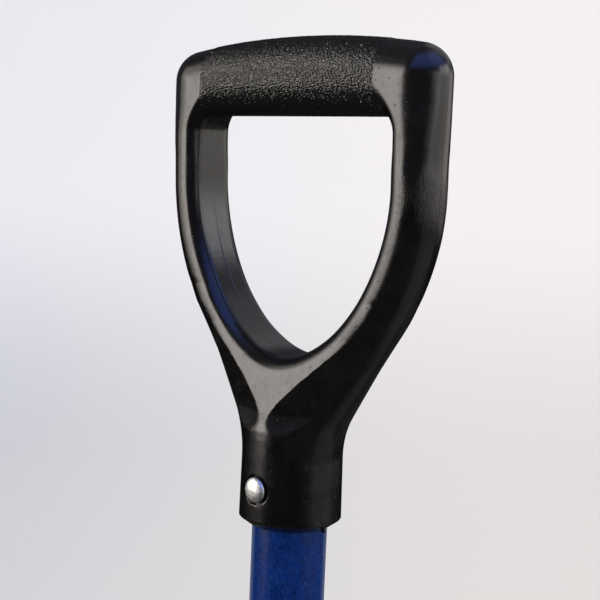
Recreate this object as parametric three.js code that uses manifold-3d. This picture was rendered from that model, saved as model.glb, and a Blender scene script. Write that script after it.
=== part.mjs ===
// Grub hoe with a D-grip: a forged head on a fibreglass tube, with a moulded grip riveted on top.
// Millimetres. The origin is the centre of the butt cap's flat underside, +Z runs up the handle,
// and the blade reaches towards -Y with its cutting edge parallel to X.
import * as THREE from 'three';
import { mergeVertices } from 'three/addons/utils/BufferGeometryUtils.js';
import Module from 'manifold-3d';

const wasm = await Module();
wasm.setup();

// ---- Driving dimensions -------------------------------------------------------------------
const GAP = 0.3;                    // clearance left between touching pieces

// Handle
const SHAFT_RADIUS = 15;
const SHAFT_BORE_RADIUS = 11.5;
const SHAFT_FOOT_Z = 6 + GAP;
const RIM_Z = 708;                  // mouth of the grip's socket
const SHAFT_TOP_Z = RIM_Z + 36;
const PLUG_RADIUS = SHAFT_BORE_RADIUS - GAP;
const TOP_PLUG_LENGTH = 52;
const BOTTOM_PLUG_LENGTH = 70;

// D-grip: heights are measured up from the socket's rim
const GRIP_HALF_DEPTH = 12.2;
const GRIP_OUTER_ROUND = 9.5;       // how far the outer edges' rounding reaches in
const GRIP_INNER_ROUND = 3.4;
const GRIP_TOP = 188.7;
const GRIP_TOP_HALF_WIDTH = 62.7;
const GRIP_CORNER_RADIUS = 11;
const NECK = { x: 18.9, z: 34, radius: 44 };
const HIP = { x: 66.8, z: 108.3, radius: 116 };
const OPENING_HALF_WIDTH = 49.4;
const OPENING_BOTTOM = 67.4;
const OPENING_WIDEST = 134.9;
const OPENING_POWER = 1.81;         // exponent of the superellipse below the widest height

// Socket of the D-grip
const SOCKET_RADIUS = 20;
const SOCKET_CHAMFER = { width: 3, height: 5 };
const SOCKET_BORE_DEPTH = 37;

// Hand bar and its textured sleeve
const BAR_Z = 176;
const BAR_END_HALF_HEIGHT = 13.9;
const BAR_ARCH = 1.0;               // drop of the bar's centre line at 40 mm from the middle
const BAR_FLARE = 5.3;
const CORE_Z = 175.4;
const CORE_HALF_HEIGHT = 11;
const CORE_HALF_DEPTH = 9;
const SLEEVE_HALF_HEIGHT = 15.1;
const SLEEVE_HALF_DEPTH = 12.5;
const SLEEVE_CROWN = 1.1;           // loss of half-height at 40 mm from the middle
const SLEEVE_LEFT = -47;
const SLEEVE_RIGHT = 41;

// Rivets
const RIVET_SHANK_RADIUS = 3;
const RIVET_HEAD_RADIUS = 5;
const RIVET_HEAD_HEIGHT = 2.6;
const RIVET_TAIL_RADIUS = 4.2;
const WASHER = { radius: 6, thickness: 1.2 };
const SPOT_FACE_RADIUS = 6.4;
const GRIP_RIVET_Z = RIM_Z + 16;
const GRIP_SPOT_Y = 18.2;           // distance of the spot faces from the handle's axis
const HEAD_RIVET_Z = 38;
const HEAD_SPOT_X = 29;

// Head
const EYE = { bottom: 10, top: 58, outerBottom: 31.5, outerTop: 30, edge: 2.5 };
const EYE_SLEEVE = { bottom: 6 + GAP, top: 66, radiusBottom: 23.5, radiusTop: 21 };
const BLADE_LENGTH = 213;           // from the handle's axis to the cutting edge
const BLADE_EDGE_HALF_WIDTH = 76;
const BLADE_SHOULDER = { y: 72, halfWidth: 63, radius: 24 };
const BLADE_NECK_HALF_WIDTH = 24;
const BLADE_RISE = 0.2;             // slope of the blade where it leaves the eye
const BLADE_CURVE = 0.00035;        // how much that slope grows towards the edge
const BLADE_ROOT_Z = 28;
const BLADE_THICKNESS = [           // [distance from the axis, thickness]
  [22, 44], [34, 34], [44, 22], [56, 14], [75, 10], [120, 7.2], [180, 4.6], [203, 3.6], [213, 0.9],
];
const RIB = { start: 26, end: 140, startRadius: 11, endRadius: 2 };

// Butt cap and collar
const CAP = { radius: 24.5, thickness: 6, spigotRadius: PLUG_RADIUS, spigotTop: 20 };
const COLLAR = { bottom: 66 + GAP, top: 92, lowerRadius: 22, upperRadius: 17.5 };

const ROUND_STEPS = 36;

// ---- Geometry helpers ---------------------------------------------------------------------

// A closed BufferGeometry as a solid that can be cut and joined.
function solid(geometry) {
  geometry.deleteAttribute('normal');
  geometry.deleteAttribute('uv');
  const merged = mergeVertices(geometry, 1e-4);
  return new wasm.Manifold(new wasm.Mesh({
    numProp: 3,
    vertProperties: new Float32Array(merged.attributes.position.array),
    triVerts: new Uint32Array(merged.index.array),
  }));
}

function toGeometry(manifold) {
  const mesh = manifold.getMesh();
  const geometry = new THREE.BufferGeometry();
  geometry.setAttribute('position', new THREE.BufferAttribute(mesh.vertProperties, 3));
  geometry.setIndex(new THREE.BufferAttribute(mesh.triVerts, 1));
  geometry.computeVertexNormals();
  return geometry;
}

// Turns a profile of [radius, height] pairs about the Z axis.
function turned(profile, steps = ROUND_STEPS) {
  const points = profile.map(([radius, height]) => new THREE.Vector2(radius, height));
  return new THREE.LatheGeometry(points, steps).rotateX(Math.PI / 2);
}

// The same, turned about the X axis; the profile runs from -X to +X.
function turnedAboutX(profile, steps = ROUND_STEPS) {
  return turned(profile, steps).rotateY(Math.PI / 2);
}

// A closed cylinder along X or Y between two places on that axis.
function rod(axis, radius, from, to, steps = 20) {
  const geometry = new THREE.CylinderGeometry(radius, radius, to - from, steps);
  geometry.translate(0, (from + to) / 2, 0);
  if (axis === 'x') geometry.rotateZ(-Math.PI / 2);
  return geometry;
}

// Adds a corner rounded by `radius` to a path that runs from `before` to `after`.
function roundedCorner(path, before, corner, after, radius) {
  const at = new THREE.Vector2(corner.x, corner.z);
  const back = new THREE.Vector2(before.x, before.z).sub(at).normalize();
  const forward = new THREE.Vector2(after.x, after.z).sub(at).normalize();
  const halfAngle = Math.acos(back.dot(forward)) / 2;
  const reach = radius / Math.tan(halfAngle);
  const start = at.clone().addScaledVector(back, reach);
  const centre = at.clone().addScaledVector(back.clone().add(forward).normalize(), radius / Math.sin(halfAngle));
  const end = at.clone().addScaledVector(forward, reach);
  const clockwise = back.cross(forward) > 0;
  path.absarc(
    centre.x, centre.y, radius,
    Math.atan2(start.y - centre.y, start.x - centre.x),
    Math.atan2(end.y - centre.y, end.x - centre.x),
    clockwise,
  );
}

// Extrudes an outline drawn in the XZ plane so that it spans y = -halfDepth to +halfDepth.
// `round` is how far the edges' rounding reaches in, and `roundDepth` how deep it goes.
function plateInXZ(shape, halfDepth, round, roundDepth, bevelSegments, curveSegments) {
  const geometry = new THREE.ExtrudeGeometry(shape, {
    depth: 2 * (halfDepth - roundDepth),
    bevelEnabled: true,
    bevelThickness: roundDepth,
    bevelSize: round,
    bevelOffset: -round,
    bevelSegments,
    curveSegments,
  });
  geometry.translate(0, 0, -(halfDepth - roundDepth));
  return geometry.rotateX(Math.PI / 2);
}

// Lets a piece that lies along X follow the hand bar's gentle arch.
function arched(geometry) {
  const position = geometry.attributes.position;
  for (let i = 0; i < position.count; i += 1) {
    position.setZ(i, position.getZ(i) - BAR_ARCH * (position.getX(i) / 40) ** 2);
  }
  return geometry;
}

// ---- D-grip -------------------------------------------------------------------------------

function gripOutline() {
  const foot = { x: NECK.x - 1.2, z: 16 };
  const neck = { x: NECK.x, z: NECK.z };
  const hip = { x: HIP.x, z: HIP.z };
  const corner = { x: GRIP_TOP_HALF_WIDTH, z: GRIP_TOP - 0.6 };
  const crown = { x: 0, z: GRIP_TOP };
  const mirror = ({ x, z }) => ({ x: -x, z });
  const shape = new THREE.Shape();
  shape.moveTo(-foot.x, foot.z);
  shape.lineTo(foot.x, foot.z);
  roundedCorner(shape, foot, neck, hip, NECK.radius);
  roundedCorner(shape, neck, hip, corner, HIP.radius);
  roundedCorner(shape, hip, corner, crown, GRIP_CORNER_RADIUS);
  roundedCorner(shape, crown, mirror(corner), mirror(hip), GRIP_CORNER_RADIUS);
  roundedCorner(shape, mirror(corner), mirror(hip), mirror(neck), HIP.radius);
  roundedCorner(shape, mirror(hip), mirror(neck), mirror(foot), NECK.radius);
  return shape;
}

// A block much larger than the grip, with the hand opening through it.
function blockWithOpening() {
  const block = new THREE.Shape();
  block.moveTo(-90, 5);
  block.lineTo(90, 5);
  block.lineTo(90, GRIP_TOP + 30);
  block.lineTo(-90, GRIP_TOP + 30);
  const opening = new THREE.Path();
  opening.moveTo(OPENING_HALF_WIDTH, GRIP_TOP + 15);
  const steps = 24;
  for (let i = 0; i <= steps; i += 1) {
    const angle = Math.PI * (i / steps);
    const across = Math.sign(Math.cos(angle)) * Math.abs(Math.cos(angle)) ** (2 / OPENING_POWER);
    const down = Math.sin(angle) ** (2 / OPENING_POWER);
    opening.lineTo(across * OPENING_HALF_WIDTH, OPENING_WIDEST - down * (OPENING_WIDEST - OPENING_BOTTOM));
  }
  opening.lineTo(-OPENING_HALF_WIDTH, GRIP_TOP + 15);
  block.holes.push(opening);
  return block;
}

// The bar's full section where it leaves the arms, flared into them.
function barEnds() {
  const half = [
    [BAR_END_HALF_HEIGHT, 40],
    [BAR_END_HALF_HEIGHT + 0.4, 43.5],
    [BAR_END_HALF_HEIGHT + 0.35 * BAR_FLARE, 46.7],
    [BAR_END_HALF_HEIGHT + BAR_FLARE, OPENING_HALF_WIDTH],
    [BAR_END_HALF_HEIGHT + BAR_FLARE, 57],
    [0, 57],
  ];
  const profile = [...half.map(([radius, x]) => [radius, -x]).reverse(), ...half];
  const geometry = turnedAboutX(profile).scale(1, GRIP_HALF_DEPTH / BAR_END_HALF_HEIGHT, 1);
  return arched(geometry.translate(0, 0, BAR_Z));
}

function barCore() {
  const profile = [[0, -52], [CORE_HALF_HEIGHT, -52], [CORE_HALF_HEIGHT, 52], [0, 52]];
  const geometry = turnedAboutX(profile, 28).scale(1, CORE_HALF_DEPTH / CORE_HALF_HEIGHT, 1);
  return geometry.translate(0, 0, CORE_Z);
}

function socketBody() {
  return turned([
    [0, 0],
    [SOCKET_RADIUS - SOCKET_CHAMFER.width, 0],
    [SOCKET_RADIUS, SOCKET_CHAMFER.height],
    [NECK.x + 0.5, NECK.z - 6],
    [NECK.x - 0.1, NECK.z + 6],
    [NECK.x - 3.4, NECK.z + 14],
    [NECK.x - 9, NECK.z + 22],
    [0, NECK.z + 24],
  ]);
}

// The hole and the two spot faces that a rivet needs, along X or Y, at height z.
function rivetCuts(axis, z, spotFace) {
  const cuts = [
    rod(axis, RIVET_SHANK_RADIUS + GAP, -40, 40),
    rod(axis, SPOT_FACE_RADIUS, -40, -spotFace),
    rod(axis, SPOT_FACE_RADIUS, spotFace, 40),
  ];
  return cuts.map((cut) => solid(cut.translate(0, 0, z))).reduce((all, cut) => all.add(cut));
}

function dGrip() {
  const outer = solid(plateInXZ(gripOutline(), GRIP_HALF_DEPTH, GRIP_OUTER_ROUND, GRIP_HALF_DEPTH - 0.3, 5, 7));
  const opened = solid(plateInXZ(blockWithOpening(), GRIP_HALF_DEPTH, GRIP_INNER_ROUND, GRIP_INNER_ROUND, 3, 7));
  const sleeveRoom = new THREE.BoxGeometry(SLEEVE_RIGHT - SLEEVE_LEFT + 2 * GAP, 60, 60);
  sleeveRoom.translate((SLEEVE_LEFT + SLEEVE_RIGHT) / 2, 0, BAR_Z + 10);
  const socketBore = turned([[0, -5], [SHAFT_RADIUS + GAP, -5], [SHAFT_RADIUS + GAP, SOCKET_BORE_DEPTH],
    [0, SOCKET_BORE_DEPTH]]);
  const moulding = outer
    .intersect(opened.add(solid(barEnds())))
    .subtract(solid(sleeveRoom))
    .add(solid(barCore()))
    .add(solid(socketBody()))
    .subtract(solid(socketBore))
    .subtract(rivetCuts('y', GRIP_RIVET_Z - RIM_Z, GRIP_SPOT_Y));
  return toGeometry(moulding).translate(0, 0, RIM_Z);
}

function gripSleeve() {
  const stations = 9;
  const middle = (SLEEVE_LEFT + SLEEVE_RIGHT) / 2;
  const half = (SLEEVE_RIGHT - SLEEVE_LEFT) / 2;
  const outside = [[0, SLEEVE_LEFT]];
  for (let i = 0; i < stations; i += 1) {
    const x = middle + half * (-1 + (2 * i) / (stations - 1));
    outside.push([SLEEVE_HALF_HEIGHT - SLEEVE_CROWN * (x / 40) ** 2, x]);
  }
  outside.push([0, SLEEVE_RIGHT]);
  const skin = turnedAboutX(outside).scale(1, SLEEVE_HALF_DEPTH / SLEEVE_HALF_HEIGHT, 1);
  const bore = turnedAboutX([[0, -60], [CORE_HALF_HEIGHT + GAP, -60], [CORE_HALF_HEIGHT + GAP, 60], [0, 60]], 28);
  bore.scale(1, (CORE_HALF_DEPTH + GAP) / (CORE_HALF_HEIGHT + GAP), 1).translate(0, 0, CORE_Z);
  const sleeve = solid(arched(skin.translate(0, 0, BAR_Z))).subtract(solid(bore));
  return toGeometry(sleeve).translate(0, 0, RIM_Z);
}

// ---- Rivets -------------------------------------------------------------------------------

// A domed rivet along +Y: its head is at the far -Y end and its peened tail at the +Y end.
function rivet(spotFace) {
  const headBase = -(spotFace + GAP);
  const tailBase = spotFace + 2 * GAP + WASHER.thickness;
  return turned([
    [0, headBase - RIVET_HEAD_HEIGHT],
    [0.55 * RIVET_HEAD_RADIUS, headBase - 0.86 * RIVET_HEAD_HEIGHT],
    [0.88 * RIVET_HEAD_RADIUS, headBase - 0.52 * RIVET_HEAD_HEIGHT],
    [RIVET_HEAD_RADIUS, headBase],
    [RIVET_SHANK_RADIUS, headBase],
    [RIVET_SHANK_RADIUS, tailBase],
    [RIVET_TAIL_RADIUS, tailBase],
    [0.8 * RIVET_TAIL_RADIUS, tailBase + 1.3],
    [0, tailBase + 1.8],
  ], 24).rotateX(-Math.PI / 2);
}

function rivetWasher(spotFace) {
  const inner = RIVET_SHANK_RADIUS + GAP;
  const from = spotFace + GAP;
  const to = from + WASHER.thickness;
  return turned([[inner, from], [WASHER.radius, from], [WASHER.radius, to], [inner, to], [inner, from]], 24)
    .rotateX(-Math.PI / 2);
}

// ---- Handle -------------------------------------------------------------------------------

function tube(inner, outer, from, to) {
  return turned([[inner, from], [outer, from], [outer, to], [inner, to], [inner, from]]);
}

function shaftTube() {
  const drilled = solid(tube(SHAFT_BORE_RADIUS, SHAFT_RADIUS, SHAFT_FOOT_Z, SHAFT_TOP_Z))
    .subtract(solid(rod('y', RIVET_SHANK_RADIUS + GAP, -30, 30).translate(0, 0, GRIP_RIVET_Z)))
    .subtract(solid(rod('x', RIVET_SHANK_RADIUS + GAP, -30, 30).translate(0, 0, HEAD_RIVET_Z)));
  return toGeometry(drilled);
}

function dowel(from, to, rivetAxis, rivetZ) {
  const profile = [
    [0, from], [PLUG_RADIUS - 1, from], [PLUG_RADIUS, from + 1],
    [PLUG_RADIUS, to - 1], [PLUG_RADIUS - 1, to], [0, to],
  ];
  const hole = rod(rivetAxis, RIVET_SHANK_RADIUS + GAP, -30, 30).translate(0, 0, rivetZ);
  return toGeometry(solid(turned(profile, 28)).subtract(solid(hole)));
}

// ---- Head ---------------------------------------------------------------------------------

function eyeSleeveRadius(z) {
  const share = (z - EYE_SLEEVE.bottom) / (EYE_SLEEVE.top - EYE_SLEEVE.bottom);
  return EYE_SLEEVE.radiusBottom + share * (EYE_SLEEVE.radiusTop - EYE_SLEEVE.radiusBottom);
}

function eyeSleeve() {
  const inner = SHAFT_RADIUS + GAP;
  const bush = solid(turned([
    [inner, EYE_SLEEVE.bottom], [EYE_SLEEVE.radiusBottom, EYE_SLEEVE.bottom],
    [EYE_SLEEVE.radiusTop, EYE_SLEEVE.top], [inner, EYE_SLEEVE.top], [inner, EYE_SLEEVE.bottom],
  ])).subtract(solid(rod('x', RIVET_SHANK_RADIUS + GAP, -40, 40).translate(0, 0, HEAD_RIVET_Z)));
  return toGeometry(bush);
}

function bladeCentreZ(distance) {
  return BLADE_ROOT_Z + BLADE_RISE * distance + BLADE_CURVE * distance ** 2;
}

// The blade's side view, drawn as (y, z), swept across the whole width.
function bladeSideView() {
  const side = new THREE.Shape();
  const upper = BLADE_THICKNESS.map(([distance, t]) => [-distance, bladeCentreZ(distance) + t / 2]);
  const lower = BLADE_THICKNESS.map(([distance, t]) => [-distance, bladeCentreZ(distance) - t / 2]);
  const points = [...upper, ...lower.reverse()];
  points.forEach(([y, z], i) => (i === 0 ? side.moveTo(y, z) : side.lineTo(y, z)));
  const geometry = new THREE.ExtrudeGeometry(side, { depth: 200, bevelEnabled: false });
  return geometry.translate(0, 0, -100).rotateX(Math.PI / 2).rotateZ(Math.PI / 2);
}

// The blade's plan view, drawn as (x, y), swept upwards.
function bladePlanView() {
  const plan = new THREE.Shape();
  const shoulder = { x: BLADE_SHOULDER.halfWidth, z: -BLADE_SHOULDER.y };
  const edgeCorner = { x: BLADE_EDGE_HALF_WIDTH, z: -(BLADE_LENGTH - 3) };
  const neck = { x: BLADE_NECK_HALF_WIDTH, z: -40 };
  const mirror = ({ x, z }) => ({ x: -x, z });
  plan.moveTo(BLADE_NECK_HALF_WIDTH - 3, -15);
  plan.lineTo(-(BLADE_NECK_HALF_WIDTH - 3), -15);
  plan.lineTo(-neck.x, neck.z);
  roundedCorner(plan, mirror(neck), mirror(shoulder), mirror(edgeCorner), BLADE_SHOULDER.radius);
  roundedCorner(plan, mirror(shoulder), mirror(edgeCorner), { x: 0, z: -(BLADE_LENGTH + 2) }, 6);
  plan.lineTo(0, -BLADE_LENGTH);
  roundedCorner(plan, { x: 0, z: -(BLADE_LENGTH + 2) }, edgeCorner, shoulder, 6);
  roundedCorner(plan, edgeCorner, shoulder, neck, BLADE_SHOULDER.radius);
  plan.lineTo(neck.x, neck.z);
  return new THREE.ExtrudeGeometry(plan, { depth: 150, bevelEnabled: false, curveSegments: 6 });
}

// A tapering round rib that runs down the middle of the blade from the eye.
function bladeRib() {
  const length = RIB.end - RIB.start;
  const rib = turned([
    [0, 0], [RIB.startRadius, 0], [RIB.endRadius, length], [0, length + RIB.endRadius],
  ], 20);
  const rise = Math.atan2(bladeCentreZ(RIB.end) - bladeCentreZ(RIB.start), length);
  return rib.rotateX(Math.PI / 2 - rise).translate(0, -RIB.start, bladeCentreZ(RIB.start));
}

function hoeHead() {
  const eye = turned([
    [0, EYE.bottom], [EYE.outerBottom - EYE.edge, EYE.bottom], [EYE.outerBottom, EYE.bottom + EYE.edge],
    [EYE.outerTop, EYE.top - EYE.edge], [EYE.outerTop - EYE.edge, EYE.top], [0, EYE.top],
  ], 40);
  const reach = 5;
  const eyeBore = turned([
    [0, EYE.bottom - reach], [eyeSleeveRadius(EYE.bottom - reach) + GAP, EYE.bottom - reach],
    [eyeSleeveRadius(EYE.top + reach) + GAP, EYE.top + reach], [0, EYE.top + reach],
  ]);
  const head = solid(bladeSideView())
    .intersect(solid(bladePlanView()))
    .add(solid(bladeRib()))
    .add(solid(eye))
    .subtract(solid(eyeBore))
    .subtract(rivetCuts('x', HEAD_RIVET_Z, HEAD_SPOT_X));
  return toGeometry(head);
}

function headCollar() {
  const inner = SHAFT_RADIUS + GAP;
  return turned([
    [inner, COLLAR.bottom], [COLLAR.lowerRadius, COLLAR.bottom], [COLLAR.lowerRadius, COLLAR.bottom + 6],
    [COLLAR.upperRadius, COLLAR.top - 4], [COLLAR.upperRadius - 1, COLLAR.top], [inner, COLLAR.top],
    [inner, COLLAR.bottom],
  ]);
}

function buttCap() {
  return turned([
    [0, 0], [CAP.radius - 1.5, 0], [CAP.radius, 1.5], [CAP.radius, CAP.thickness],
    [CAP.spigotRadius, CAP.thickness], [CAP.spigotRadius, CAP.spigotTop - 1],
    [CAP.spigotRadius - 1, CAP.spigotTop], [0, CAP.spigotTop],
  ]);
}

// ---- Assembly -----------------------------------------------------------------------------

const FINISHES = {
  blackPlastic: { color: 0x17171a, roughness: 0.35, metalness: 0 },
  blackRubber: { color: 0x141416, roughness: 0.55, metalness: 0 },
  blueFibreglass: { color: 0x14306e, roughness: 0.4, metalness: 0 },
  hardwood: { color: 0xb08a5a, roughness: 0.7, metalness: 0 },
  platedSteel: { color: 0xb9bcc0, roughness: 0.3, metalness: 1 },
  forgedSteel: { color: 0x2b2d30, roughness: 0.5, metalness: 0.6 },
  nylon: { color: 0x1b1b1d, roughness: 0.5, metalness: 0 },
};

const hoe = new THREE.Group();

function addPiece(name, geometry, finish) {
  const mesh = new THREE.Mesh(geometry, new THREE.MeshStandardMaterial(FINISHES[finish]));
  mesh.name = name;
  hoe.add(mesh);
  return mesh;
}

addPiece('d_grip', dGrip(), 'blackPlastic');
addPiece('grip_sleeve', gripSleeve(), 'blackRubber');
addPiece('grip_rivet', rivet(GRIP_SPOT_Y), 'platedSteel').position.z = GRIP_RIVET_Z;
addPiece('grip_rivet_washer', rivetWasher(GRIP_SPOT_Y), 'platedSteel').position.z = GRIP_RIVET_Z;
addPiece('shaft_tube', shaftTube(), 'blueFibreglass');
addPiece('top_plug', dowel(SHAFT_TOP_Z - TOP_PLUG_LENGTH, SHAFT_TOP_Z - GAP, 'y', GRIP_RIVET_Z), 'hardwood');
const plugFoot = CAP.spigotTop + GAP;
addPiece('bottom_plug', dowel(plugFoot, plugFoot + BOTTOM_PLUG_LENGTH, 'x', HEAD_RIVET_Z), 'hardwood');
addPiece('eye_sleeve', eyeSleeve(), 'nylon');
addPiece('hoe_head', hoeHead(), 'forgedSteel');
const headRivet = addPiece('head_rivet', rivet(HEAD_SPOT_X), 'platedSteel');
headRivet.position.z = HEAD_RIVET_Z;
headRivet.rotation.z = Math.PI / 2;
const headWasher = addPiece('head_rivet_washer', rivetWasher(HEAD_SPOT_X), 'platedSteel');
headWasher.position.z = HEAD_RIVET_Z;
headWasher.rotation.z = Math.PI / 2;
addPiece('head_collar', headCollar(), 'blackRubber');
addPiece('butt_cap', buttCap(), 'nylon');

export default hoe;
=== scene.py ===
"""Looks of the D-handled grub hoe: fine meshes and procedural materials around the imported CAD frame.

Shapes are worked out in millimetres and turned into metres when a mesh is made.
"""
import math

import bpy
import numpy as np
from mathutils import Matrix, Vector


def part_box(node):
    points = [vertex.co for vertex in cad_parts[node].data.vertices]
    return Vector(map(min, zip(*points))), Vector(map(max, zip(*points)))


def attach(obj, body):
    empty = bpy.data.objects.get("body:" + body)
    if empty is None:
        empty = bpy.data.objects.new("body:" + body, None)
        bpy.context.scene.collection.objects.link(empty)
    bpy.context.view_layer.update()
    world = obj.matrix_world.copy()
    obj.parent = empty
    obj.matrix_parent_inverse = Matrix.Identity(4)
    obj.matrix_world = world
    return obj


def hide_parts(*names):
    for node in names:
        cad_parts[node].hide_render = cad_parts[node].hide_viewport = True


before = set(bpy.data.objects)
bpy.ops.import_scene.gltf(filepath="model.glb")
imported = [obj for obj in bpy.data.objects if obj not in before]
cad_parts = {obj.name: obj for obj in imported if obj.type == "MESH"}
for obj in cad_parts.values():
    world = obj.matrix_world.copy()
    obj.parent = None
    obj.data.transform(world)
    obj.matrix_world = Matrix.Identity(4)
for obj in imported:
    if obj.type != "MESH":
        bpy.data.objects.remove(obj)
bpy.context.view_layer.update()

MM = 0.001

# ---- Places taken from the frame (mm) ----------------------------------------------------------

RIM_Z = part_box("d_grip")[0].z / MM                  # mouth of the grip's socket
SHAFT_FOOT, SHAFT_TOP = (corner.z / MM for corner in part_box("shaft_tube"))
SHAFT_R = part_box("shaft_tube")[1].x / MM
SLEEVE_LEFT, SLEEVE_RIGHT = (corner.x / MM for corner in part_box("grip_sleeve"))
COLLAR_FOOT, COLLAR_TOP = (corner.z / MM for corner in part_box("head_collar"))
CAP_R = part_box("butt_cap")[1].x / MM
BUSH_FOOT, BUSH_TOP = (corner.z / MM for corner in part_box("eye_sleeve"))
EYE_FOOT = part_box("hoe_head")[0].z / MM
BLADE_LENGTH = -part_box("hoe_head")[0].y / MM
GRIP_RIVET_Z = sum(corner.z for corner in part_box("grip_rivet")) / 2 / MM
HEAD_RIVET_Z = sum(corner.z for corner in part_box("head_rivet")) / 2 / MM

# ---- Small maths -------------------------------------------------------------------------------


def mix(a, b, share):
    return a + (b - a) * share


def smooth_step(low, high, value):
    share = np.clip((value - low) / (high - low), 0, 1)
    return share * share * (3 - 2 * share)


def smooth_min(a, b, reach):
    share = np.clip(0.5 + 0.5 * (b - a) / reach, 0, 1)
    return mix(b, a, share) - reach * share * (1 - share)


def smooth_max(a, b, reach):
    return -smooth_min(-a, -b, reach)


def bump_at(value, centre, width):
    """1 at centre, falling smoothly to nothing a few widths away."""
    return np.exp(-(((value - centre) / width) ** 2))


def rounded_corners(points, radii, steps=40):
    """The polyline with each inner corner replaced by an arc of its radius (0 leaves it sharp)."""
    out = []
    for i, (point, radius) in enumerate(zip(points, radii)):
        corner = np.array(point, float)
        if radius == 0:
            out.append(corner)
            continue
        back = np.array(points[i - 1], float) - corner
        ahead = np.array(points[i + 1], float) - corner
        back /= np.linalg.norm(back)
        ahead /= np.linalg.norm(ahead)
        half = math.acos(float(back @ ahead)) / 2
        middle = (back + ahead) / np.linalg.norm(back + ahead)
        centre = corner + middle * radius / math.sin(half)
        start = corner + back * radius / math.tan(half) - centre
        end = corner + ahead * radius / math.tan(half) - centre
        first = math.atan2(start[1], start[0])
        turn = (math.atan2(end[1], end[0]) - first + math.pi) % (2 * math.pi) - math.pi
        for k in range(steps + 1):
            angle = first + turn * k / steps
            out.append(centre + radius * np.array([math.cos(angle), math.sin(angle)]))
    return np.array(out)


def mirrored(right):
    """A closed outline from its right half."""
    return np.vstack([right, (right * [-1, 1])[::-1]])


class DistanceMap:
    """Signed distance to a closed outline (positive outside), kept on a fine grid and read between."""

    def __init__(self, outline, low, high, step=0.4):
        self.low, self.step = np.array(low, float), step
        across = np.arange(low[0], high[0] + step, step)
        along = np.arange(low[1], high[1] + step, step)
        px, pz = np.meshgrid(across, along, indexing="ij")
        best = np.full(px.shape, 1e9)
        crossings = np.zeros(px.shape, int)
        for a, b in zip(outline, np.roll(outline, -1, 0)):
            side = b - a
            length = side @ side
            if length < 1e-12:
                continue
            wx, wz = px - a[0], pz - a[1]
            share = np.clip((wx * side[0] + wz * side[1]) / length, 0, 1)
            best = np.minimum(best, np.hypot(wx - share * side[0], wz - share * side[1]))
            spans = (a[1] <= pz) != (b[1] <= pz)
            if abs(side[1]) > 1e-12:
                crossings += spans & (wx < side[0] * wz / side[1])
        self.table = np.where(crossings % 2 == 1, -best, best)

    def __call__(self, x, z):
        shape = self.table.shape
        u = np.clip((x - self.low[0]) / self.step, 0, shape[0] - 1.001)
        v = np.clip((z - self.low[1]) / self.step, 0, shape[1] - 1.001)
        u, v = np.broadcast_arrays(u, v)
        i, j = u.astype(int), v.astype(int)
        du, dv = u - i, v - j
        t = self.table
        return (t[i, j] * (1 - du) + t[i + 1, j] * du) * (1 - dv) \
            + (t[i, j + 1] * (1 - du) + t[i + 1, j + 1] * du) * dv


# ---- Meshes from fields ------------------------------------------------------------------------


def grid_lines(*spans):
    """Grid lines along one axis; each span is (start, end, step) and meets the next."""
    lines = [np.linspace(a, b, max(2, round((b - a) / step) + 1))[:-1] for a, b, step in spans]
    return np.concatenate(lines + [[spans[-1][1]]])


def surface_nets(lines, values):
    """Corner points and quads of the surface where values cross zero, on a grid of uneven lines."""
    inside = values < 0
    n = values.shape
    corners = [(i, j, k) for i in (0, 1) for j in (0, 1) for k in (0, 1)]
    count = np.zeros([size - 1 for size in n], np.int8)
    for i, j, k in corners:
        count += inside[i:n[0] - 1 + i, j:n[1] - 1 + j, k:n[2] - 1 + k]
    cells = np.argwhere((count > 0) & (count < 8))
    index = np.full(count.shape, -1)
    index[tuple(cells.T)] = np.arange(len(cells))
    total = np.zeros((len(cells), 3))
    hits = np.zeros(len(cells))
    for u in corners:
        for v in corners:
            if v <= u or sum(abs(p - q) for p, q in zip(u, v)) != 1:
                continue
            a = values[tuple((cells + u).T)]
            b = values[tuple((cells + v).T)]
            cut = (a < 0) != (b < 0)
            share = np.where(cut, a / np.where(a == b, 1, a - b), 0)[:, None]
            total[cut] += (np.array(u) + (np.array(v) - np.array(u)) * share)[cut]
            hits[cut] += 1
    place = cells + total / hits[:, None]
    points = np.stack([np.interp(place[:, d], np.arange(n[d]), lines[d]) for d in range(3)], 1)
    quads = []
    for axis in range(3):
        step = [int(d == axis) for d in range(3)]
        first = inside[:n[0] - step[0], :n[1] - step[1], :n[2] - step[2]]
        edges = np.argwhere(first != inside[step[0]:, step[1]:, step[2]:])
        b, c = (d for d in range(3) if d != axis)
        edges = edges[(edges[:, b] > 0) & (edges[:, c] > 0)]
        ring = []
        for db, dc in ((0, 0), (1, 0), (1, 1), (0, 1)):
            cell = edges.copy()
            cell[:, b] -= db
            cell[:, c] -= dc
            ring.append(index[tuple(np.minimum(cell, np.array(index.shape) - 1).T)])
        quad = np.stack(ring, 1)
        turn = first[tuple(edges.T)] ^ (axis == 1)
        quads.append(np.where(turn[:, None], quad, quad[:, ::-1]))
    return points, np.vstack(quads)


def slope_of(field, points, step=0.02):
    """The field's gradient at each point."""
    columns = []
    for d in range(3):
        shift = np.zeros(3)
        shift[d] = step
        columns.append((field(*(points + shift).T) - field(*(points - shift).T)) / (2 * step))
    return np.stack(columns, 1)


def settle(points, field, rounds=4, longest=0.4):
    """Slides points along the gradient until they lie on the field's zero surface."""
    for _ in range(rounds):
        slope = slope_of(field, points)
        move = (-field(*points.T) / np.maximum((slope ** 2).sum(1), 1e-6))[:, None] * slope
        size = np.linalg.norm(move, axis=1, keepdims=True)
        points = points + move * np.minimum(1, longest / np.maximum(size, 1e-9))
    return points


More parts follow.
